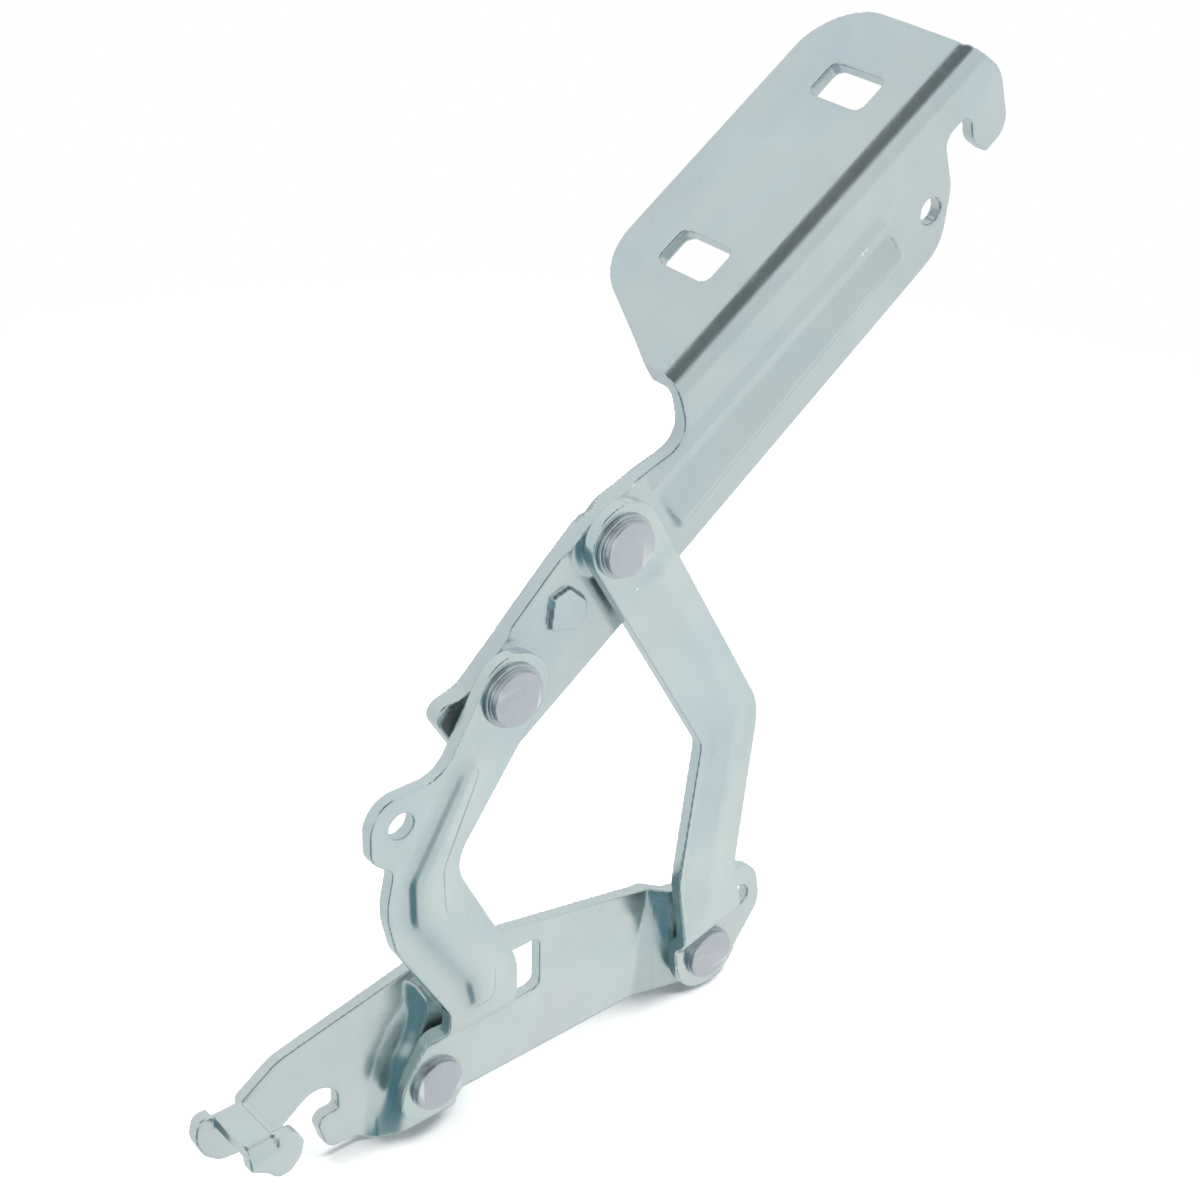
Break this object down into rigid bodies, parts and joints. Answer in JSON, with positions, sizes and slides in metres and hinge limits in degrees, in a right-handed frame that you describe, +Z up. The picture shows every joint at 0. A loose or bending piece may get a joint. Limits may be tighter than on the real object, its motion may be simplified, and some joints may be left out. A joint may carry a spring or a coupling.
{
  "type": "bonnet hinge",
  "caption": "Riveted bonnet hinge: cranked plate links carry a flanged arm on a slotted base bracket.",
  "frame": {"origin": "centre of the base bracket's bolt slot, on the face that seats on the body", "axes": "+X along the base towards the long link, +Y from the links into the body, +Z up; the bonnet side stands open"},
  "size_m": [0.2774, 0.0637, 0.2857],
  "materials": {
    "zinc_plate": "pale blue zinc plating on pressed steel",
    "rivet_steel": "zinc plating, flat pressed heads",
    "bush_metal": "plain bearing metal",
    "washer_steel": "zinc plating"
  },
  "bodies": {
    "base_bracket": {"base_bracket": "zinc_plate", "rivet_c": "rivet_steel", "rivet_d": "rivet_steel"},
    "long_link": {"long_link": "zinc_plate", "bush_a": "bush_metal", "bush_d": "bush_metal"},
    "short_link": {"short_link": "zinc_plate", "bush_b": "bush_metal", "bush_c": "bush_metal", "rivet_b": "rivet_steel", "washer_b": "washer_steel", "washer_b_rear": "washer_steel"},
    "hood_arm": {"hood_arm": "zinc_plate", "rivet_a": "rivet_steel", "washer_a": "washer_steel"}
  },
  "joints": [
    {"name": "hinge_close", "type": "hinge", "parent": "base_bracket", "child": "long_link", "pos_m": [0.0656, -0.011, -0.0202], "axis": [0, -1, 0], "range_deg": [0, 29.3]},
    {"name": "arm_turn", "type": "hinge", "parent": "long_link", "child": "hood_arm", "pos_m": [0.02182, -0.013, 0.14365], "axis": [0, 1, 0], "range_deg": [0, 68.3]},
    {"name": "short_link_turn", "type": "hinge", "parent": "base_bracket", "child": "short_link", "pos_m": [-0.039, -0.011, -0.0145], "axis": [0, -1, 0], "range_deg": [0, 40.7]}
  ],
  "couplings": [
    {"joint": "arm_turn", "follows": "hinge_close", "ratio": 2.33},
    {"joint": "short_link_turn", "follows": "hinge_close", "ratio": 1.389}
  ]
}
